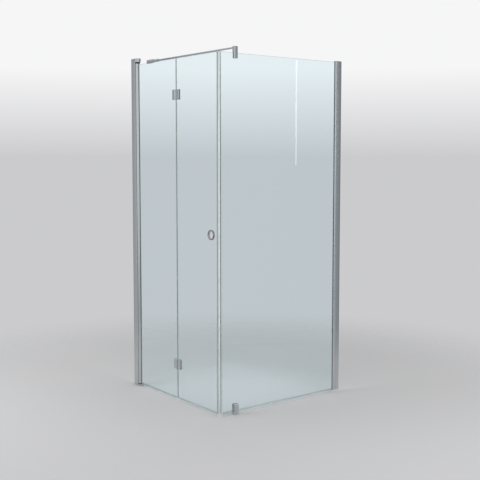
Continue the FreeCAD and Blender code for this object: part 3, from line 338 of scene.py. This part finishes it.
def layered(name, direction, layers, edge_material=False):
    """Carry a section of closed loops along a direction through layers of (place, loops).

    Point k of a loop on one layer joins point k on the next, and the end layers are filled in.
    """
    columns = COLUMNS[direction]
    sizes = [len(loop) for loop in layers[0][1]]
    total = sum(sizes)
    points = np.empty((len(layers), total, 3))
    for level, (place, loops) in enumerate(layers):
        points[level][:, columns[:2]] = np.concatenate(loops)
        points[level][:, columns[2]] = place
    starts = np.cumsum([0] + sizes[:-1])
    ahead = np.concatenate([start + np.roll(np.arange(size), -1) for start, size in zip(starts, sizes)])
    here = np.arange(total)
    ring = np.stack([here, ahead, ahead + total, here + total], axis=1)
    sides = (ring[None] + total * np.arange(len(layers) - 1)[:, None, None]).reshape(-1, 4)
    faces = sides.tolist()
    for level, (_, loops) in ((0, layers[0]), (len(layers) - 1, layers[-1])):
        flat = [np.column_stack([loop, np.zeros(len(loop))]).tolist() for loop in loops]
        faces += (np.array(tessellate_polygon(flat)) + level * total).tolist()
    return new_piece(name, points.reshape(-1, 3), faces, len(sides) if edge_material else 0)


def turned(name, direction, centre, profile, count=96):
    """Turn a closed profile of (place along the axis, radius) round an axis.

    Point (i, j) is centre + along_j axis + radius_j (cos a_i, sin a_i) in the plane square to the axis.
    """
    first, second, main = COLUMNS[direction]
    along, radius = np.asarray(profile).T
    angle = np.linspace(0, 2 * math.pi, count, endpoint=False)[:, None]
    points = np.empty((count, len(radius), 3))
    points[..., main] = along
    points[..., first] = centre[0] + radius * np.cos(angle)
    points[..., second] = centre[1] + radius * np.sin(angle)
    number = np.arange(count * len(radius)).reshape(count, len(radius))
    corners = [number, np.roll(number, -1, axis=0), np.roll(number, (-1, -1), axis=(0, 1)),
               np.roll(number, -1, axis=1)]
    return new_piece(name, points.reshape(-1, 3), np.stack(corners, axis=-1).reshape(-1, 4).tolist())


def dress(piece, node, finishes=()):
    """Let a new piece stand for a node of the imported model, with the finishes given or the node's own."""
    slot = next(part["material_slot"] for part in frame["record"]["subparts"] if part["node"] == node)
    for finish in finishes or [finish_of(node, slot)]:
        piece.data.materials.append(finish)
    piece.visible_shadow = slot not in CLEAR_SLOTS
    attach(piece, nodes[node]["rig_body"])
    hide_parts(node)


# Smooth pieces

def pivot_tube():
    """Tube section: a circle with a glass slot, a screw port in the middle and a hollow back."""
    low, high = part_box("pivot_tube")
    slot_low, slot_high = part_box("tube_glazing_gasket")
    pin_low, pin_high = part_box("tube_top_pin")
    radius = (high.y - low.y) / 2
    centre = np.array([low.x + radius, (low.y + high.y) / 2])
    half_slot = (slot_high.y - slot_low.y) / 2
    lip = math.asin(half_slot / radius)
    slot_floor = slot_low.x
    outside = np.vstack([
        arc(centre, radius, lip, 2 * math.pi - lip, count=120),
        [(slot_floor, centre[1] - half_slot), (slot_floor, centre[1] + half_slot)],
    ])
    port = (pin_high.x - pin_low.x) / 2
    start = math.pi - TUBE_HOLLOW_SWEEP / 2
    end = math.pi + TUBE_HOLLOW_SWEEP / 2
    hollow = np.vstack([
        arc(centre, radius - TUBE_WALL * MM, end, start),
        arc(centre, port + TUBE_PORT_WALL * MM, start, end),
    ])
    section = [outside, hole(centre, port), hollow]
    dress(layered("pivot_tube_smooth", "z", [(low.z, section), (high.z, section)]), "pivot_tube")


def seat_profile():
    """Left profile: a channel section whose front is hollowed to a round seat for the tube."""
    low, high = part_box("left_seat_profile")
    tube_low, tube_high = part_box("pivot_tube")
    radius = (tube_high.y - tube_low.y) / 2 + SEAT_CLEARANCE * MM
    centre = np.array([tube_low.x + radius - SEAT_CLEARANCE * MM, (low.y + high.y) / 2])
    wall = SEAT_PROFILE_WALL * MM
    web = centre[0] - radius - SEAT_WEB * MM
    lip = math.acos((centre[0] - high.x) / radius)
    seat = arc(centre, radius, math.pi - lip, math.pi + lip, count=64)
    corners = [
        (low.x, high.y),
        (low.x, high.y - wall),
        (web, high.y - wall),
        (web, low.y + wall),
        (low.x, low.y + wall),
        (low.x, low.y),
        (high.x, low.y),
        (high.x, high.y),
    ]
    channel = rounded(corners, SMALL_ROUND * MM)
    # The seat's arc goes in before the points of the last corner, between the two lips at the front
    last_corner = len(channel) - len(channel) // len(corners)
    section = [np.vstack([channel[:last_corner], seat[::-1], channel[last_corner:]])]
    dress(layered("left_seat_profile_smooth", "z", [(low.z, section), (high.z, section)]),
          "left_seat_profile")


def cover_profile():
    """Right profile: a hollow box section with round front corners and two lips beside the glass slot."""
    low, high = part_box("right_cover_profile")
    slot_low, slot_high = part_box("right_glazing_gaskets")
    _, pane_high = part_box("fixed_glass")
    wall = COVER_WALL * MM
    lip = COVER_LIP_WALL * MM
    web = pane_high.y + PANE_LINER * MM
    inside = low.y + wall
    corners = [
        (low.x, high.y),
        (low.x, low.y),
        (slot_low.x, low.y),
        (slot_low.x, slot_high.y),
        (slot_low.x - lip, slot_high.y),
        (slot_low.x - lip, inside),
        (low.x + wall, inside),
        (low.x + wall, web),
        (high.x - wall, web),
        (high.x - wall, inside),
        (slot_high.x + lip, inside),
        (slot_high.x + lip, slot_high.y),
        (slot_high.x, slot_high.y),
        (slot_high.x, low.y),
        (high.x, low.y),
        (high.x, high.y),
        (high.x - wall, high.y),
        (high.x - wall, web + wall),
        (low.x + wall, web + wall),
        (low.x + wall, high.y),
    ]
    # Numbers in the list of the two front corners, and of the corners behind them inside the wall
    front_corners = [1, 14]
    corners_behind = [6, 9]
    radii = np.full(len(corners), SMALL_ROUND * MM)
    radii[front_corners] = COVER_CORNER * MM
    radii[corners_behind] = (COVER_CORNER - COVER_WALL) * MM
    section = [rounded(corners, radii)]
    dress(layered("right_cover_profile_smooth", "z", [(low.z, section), (high.z, section)]),
          "right_cover_profile")


def pane(node, direction, holes):
    """Glass pane with a small arris along every edge: the faces are the outline moved in by the arris."""
    low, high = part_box(node)
    first, second, main = COLUMNS[direction]
    outline = np.array([
        (low[first], low[second]), (high[first], low[second]),
        (high[first], high[second]), (low[first], high[second]),
    ])
    loops = [outline, *holes]
    arris = GLASS_ARRIS * MM
    face = [inset(loop, arris) for loop in loops]
    layers = [
        (low[main], face), (low[main] + arris, loops),
        (high[main] - arris, loops), (high[main], face),
    ]
    piece = layered(f"{node}_pane", direction, layers, edge_material=True)
    dress(piece, node, [FINISHES["safety_glass"], GLASS_EDGE])


def hinge_holes(half):
    """Holes for the screws of one half of both fold hinges, above and below the middle of each plate."""
    holes = []
    for level in ("upper", "lower"):
        low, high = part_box(f"{level}_hinge_{half}_clamp")
        middle = (low + high) / 2
        for way in (-1, 1):
            place = (middle.x, middle.z + way * HINGE_SCREW_PITCH * MM / 2)
            holes.append(hole(place, HINGE_HOLE_RADIUS * MM, count=48))
    return holes


def glass_panes():
    """The two leaves, with holes for the hinges' screws and the grip, and the fixed pane without any."""
    low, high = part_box("grip_ring_outer")
    grip = hole(((low.x + high.x) / 2, (low.z + high.z) / 2), GRIP_HOLE_RADIUS * MM, count=96)
    pane("wall_leaf_glass", "y", hinge_holes("wall"))
    pane("outer_leaf_glass", "y", [*hinge_holes("door"), grip])
    pane("fixed_glass", "x", [])


def grip_rings():
    """Ring grip: two equal flanges with rounded rims, and a sleeve through the glass on the outer one."""
    low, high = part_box("grip_ring_outer")
    inner_low, inner_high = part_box("grip_ring_inner")
    centre = ((low.x + high.x) / 2, (low.z + high.z) / 2)
    radius = (high.x - low.x) / 2
    bore = GRIP_BORE_RADIUS * MM
    sleeve = bore + GRIP_SLEEVE_WALL * MM
    flange_back = low.y + inner_high.y - inner_low.y
    edge = GRIP_ROUND * MM
    crisp = SMALL_ROUND * MM
    outer = rounded([
        (low.y, bore), (low.y, radius), (flange_back, radius), (flange_back, sleeve),
        (high.y, sleeve), (high.y, bore),
    ], [edge, edge, crisp, crisp, crisp, crisp])
    dress(turned("grip_ring_outer_smooth", "y", centre, outer, count=128), "grip_ring_outer")
    inner = rounded([
        (inner_low.y, sleeve), (inner_low.y, radius), (inner_high.y, radius), (inner_high.y, sleeve),
    ], [crisp, crisp, edge, crisp])
    dress(turned("grip_ring_inner_smooth", "y", centre, inner, count=128), "grip_ring_inner")


def bar():
    """Stabiliser bar: a round tube with softened ends."""
    low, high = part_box("stabiliser_bar")
    centre = ((low.y + high.y) / 2, (low.z + high.z) / 2)
    radius = (high.z - low.z) / 2
    bore = BAR_BORE_RADIUS * MM
    profile = rounded([(low.x, bore), (low.x, radius), (high.x, radius), (high.x, bore)], BAR_ROUND * MM)
    dress(turned("stabiliser_bar_smooth", "x", centre, profile), "stabiliser_bar")


# Studio

# Floor: its reach from the middle and the distances over which it fades, in metres, and its drop below
# the object, in millimetres
FLOOR_REACH = 3.4
FADE_START = 0.9
FADE_END = 2.8
FLOOR_DROP = 0.5
FLOOR_COLOUR = "cbcbcc"

# Backdrop over its rise from the horizon, as the sine of the angle
BACKDROP_RISE = 0.1
BACKDROP = [(0.0, "cbcbcd"), (1.0, "f6f6f7")]

# Cards that mirrors show round the studio, from its back at 0, over both sides, to its front at 1
STUDIO_FRONT = (0.44, -0.90, 0.0)
CARDS = [(0.0, "bcc0c3"), (0.05, "a4a8ab"), (0.10, "6a6e72"), (0.22, "64686c"), (0.31, "989ca0"),
         (0.42, "a8acaf"), (0.52, "adb1b4"), (0.58, "bcc0c3"), (0.64, "c4c7ca"), (0.70, "f4f4f5"),
         (0.84, "fcfcfc"), (0.94, "e2e4e5"), (1.0, "d4d7d9")]

# Greyer cards lower down and a pale ceiling, with the rise over which each takes the cards' place
LOW_CARDS = [(0.0, "bcc0c3"), (0.10, "6a6e72"), (0.22, "64686c"), (0.33, "9ca0a4"), (0.58, "b8bcbf"),
             (0.66, "b0b4b7"), (0.74, "8e9296"), (1.0, "a0a4a7")]
LOW_RISE = (-0.095, -0.155)
CEILING = "f2f2f3"
CEILING_RISE = (0.3, 0.7)

# Strength of the even light that falls on matt surfaces
SOFT_LIGHT = 0.45

# Points that the lamps are aimed at, in metres
FLOOR_MIDDLE = (0.0, 0.0, 0.0)
ENCLOSURE_MIDDLE = (0.0, 0.0, 1.0)
FIXED_PANE_POINT = (0.444, 0.107, 1.69)


def studio_floor():
    """Plain pale floor that thins out into the backdrop away from the middle of the enclosure."""
    corners = FLOOR_REACH * np.array([(-1, -1, 0), (1, -1, 0), (1, 1, 0), (-1, 1, 0)], float)
    corners[:, 2] = -FLOOR_DROP * MM
    mesh = bpy.data.meshes.new("studio_floor")
    mesh.from_pydata(corners.tolist(), [], [(0, 1, 2, 3)])
    floor = bpy.data.objects.new("studio_floor", mesh)
    bpy.context.scene.collection.objects.link(floor)

    material = bpy.data.materials.new("matt_studio_paper")
    material.use_nodes = True
    tree = material.node_tree
    tree.nodes.clear()
    place = add_node(tree, "ShaderNodeTexCoord")
    distance = add_node(tree, "ShaderNodeVectorMath", {0: place.outputs["Object"]}, operation="LENGTH")
    fade = add_node(tree, "ShaderNodeMapRange", {
        "Value": distance.outputs["Value"], "From Min": FADE_START, "From Max": FADE_END,
    }, interpolation_type="SMOOTHSTEP")
    paper = add_node(tree, "ShaderNodeBsdfDiffuse", {"Color": FLOOR_COLOUR})
    clear = add_node(tree, "ShaderNodeBsdfTransparent")
    mixed = add_node(tree, "ShaderNodeMixShader", {
        "Fac": fade.outputs["Result"], 1: paper.outputs["BSDF"], 2: clear.outputs["BSDF"],
    })
    add_node(tree, "ShaderNodeOutputMaterial", {"Surface": mixed.outputs["Shader"]})
    mesh.materials.append(material)


def studio_world():
    """Pale backdrop, lighter towards the top, where it is seen; grey and pale cards round the studio in
    mirrors; and a soft even light everywhere else."""
    world = bpy.data.worlds.new("pale_studio")
    bpy.context.scene.world = world
    world.use_nodes = True
    tree = world.node_tree
    tree.nodes.clear()
    way = add_node(tree, "ShaderNodeTexCoord").outputs["Generated"]
    rise = add_node(tree, "ShaderNodeSeparateXYZ", {"Vector": way}).outputs["Z"]
    facing = add_node(tree, "ShaderNodeVectorMath", {0: way, 1: STUDIO_FRONT},
                      operation="DOT_PRODUCT").outputs["Value"]
    bands = []
    for value, low, high, stops in (
        (rise, 0.0, BACKDROP_RISE, BACKDROP),
        (facing, -1.0, 1.0, CARDS),
        (facing, -1.0, 1.0, LOW_CARDS),
    ):
        share = add_node(tree, "ShaderNodeMapRange", {
            "Value": value, "From Min": low, "From Max": high,
        })
        band = add_node(tree, "ShaderNodeValToRGB", {"Fac": share.outputs["Result"]})
        elements = band.color_ramp.elements
        for place, _ in stops[1:-1]:
            elements.new(place)
        for element, (place, colour) in zip(elements, stops):
            element.position = place
            element.color = linear(colour)
        bands.append(band.outputs["Color"])
    backdrop, mirrored, low_cards = bands
    first, second, result = MIX_SOCKETS["RGBA"]
    for other, (start, end) in ((low_cards, LOW_RISE), (CEILING, CEILING_RISE)):
        share = add_node(tree, "ShaderNodeMapRange", {
            "Value": rise, "From Min": start, "From Max": end,
        })
        mirrored = add_node(tree, "ShaderNodeMix", {
            "Factor": share.outputs["Result"], first: mirrored, second: other,
        }, data_type="RGBA").outputs[result]
    path = add_node(tree, "ShaderNodeLightPath").outputs
    in_mirror = add_node(tree, "ShaderNodeMath", {
        0: path["Is Glossy Ray"], 1: path["Is Transmission Ray"],
    }, operation="SUBTRACT").outputs["Value"]
    shows = path["Is Camera Ray"]
    for ray in ("Is Glossy Ray", "Is Transmission Ray"):
        shows = add_node(tree, "ShaderNodeMath", {
            0: shows, 1: path[ray],
        }, operation="MAXIMUM").outputs["Value"]
    seen = add_node(tree, "ShaderNodeMix", {
        "Factor": in_mirror, first: backdrop, second: mirrored,
    }, data_type="RGBA")
    soft = add_node(tree, "ShaderNodeBackground", {"Color": "ffffff", "Strength": SOFT_LIGHT})
    shown = add_node(tree, "ShaderNodeBackground", {"Color": seen.outputs[result], "Strength": 1.0})
    mixed = add_node(tree, "ShaderNodeMixShader", {
        "Fac": shows, 1: soft.outputs["Background"], 2: shown.outputs["Background"],
    })
    add_node(tree, "ShaderNodeOutputWorld", {"Surface": mixed.outputs["Shader"]})


def lamp(name, place, target, size, power, spread=180, mirrored=False):
    """Rectangular lamp of a size in metres and a power in watts, aimed at a point.

    Its spread is in degrees, and mirrors show it or leave it out.
    """
    light = bpy.data.lights.new(name, "AREA")
    light.shape = "RECTANGLE"
    light.size, light.size_y = size
    light.energy = power
    light.spread = math.radians(spread)
    item = bpy.data.objects.new(name, light)
    item.visible_camera = False
    item.visible_transmission = False
    item.visible_glossy = mirrored
    item.location = place
    item.rotation_euler = (Vector(target) - Vector(place)).to_track_quat("-Z", "Y").to_euler()
    bpy.context.scene.collection.objects.link(item)


def studio_lamps():
    """A wide soft lamp above, a narrow one over the shower space, one before each side, and a thin strip
    that the fixed pane mirrors as a bright upright line."""
    lamp("ceiling_lamp", (0.0, 0.0, 4.5), FLOOR_MIDDLE, (5.0, 5.0), power=58)
    lamp("shower_lamp", (0.0, 0.0, 2.6), FLOOR_MIDDLE, (0.85, 0.85), power=0.75, spread=12)
    lamp("left_lamp", (-1.2, -3.6, 1.4), ENCLOSURE_MIDDLE, (2.0, 2.6), power=78)
    lamp("right_lamp", (4.2, 0.6, 1.4), ENCLOSURE_MIDDLE, (1.6, 2.6), power=78)
    lamp("strip_lamp", (3.2, 2.525, 1.88), FIXED_PANE_POINT, (0.015, 1.04), power=0.16, mirrored=True)


def camera():
    """Camera that looks along (-sin heading cos tilt, cos heading cos tilt, -sin tilt)."""
    data = bpy.data.cameras.new("camera")
    data.lens = CAMERA_LENS
    data.shift_y = CAMERA_SHIFT
    item = bpy.data.objects.new("camera", data)
    item.location = CAMERA_PLACE
    level = math.cos(CAMERA_TILT)
    look = Vector((-math.sin(CAMERA_HEADING) * level, math.cos(CAMERA_HEADING) * level,
                   -math.sin(CAMERA_TILT)))
    item.rotation_euler = look.to_track_quat("-Z", "Y").to_euler()
    bpy.context.scene.collection.objects.link(item)
    bpy.context.scene.camera = item


def paint_nodes():
    """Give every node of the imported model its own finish, or that of its slot."""
    for part in frame["record"]["subparts"]:
        node = nodes[part["node"]]
        finish = finish_of(part["node"], part["material_slot"])
        for slot in node.material_slots:
            slot.material = finish
        node.visible_shadow = part["material_slot"] not in CLEAR_SLOTS


paint_nodes()
pivot_tube()
seat_profile()
cover_profile()
glass_panes()
grip_rings()
bar()
studio_floor()
studio_world()
studio_lamps()
camera()
bpy.context.scene.view_settings.view_transform = "Standard"
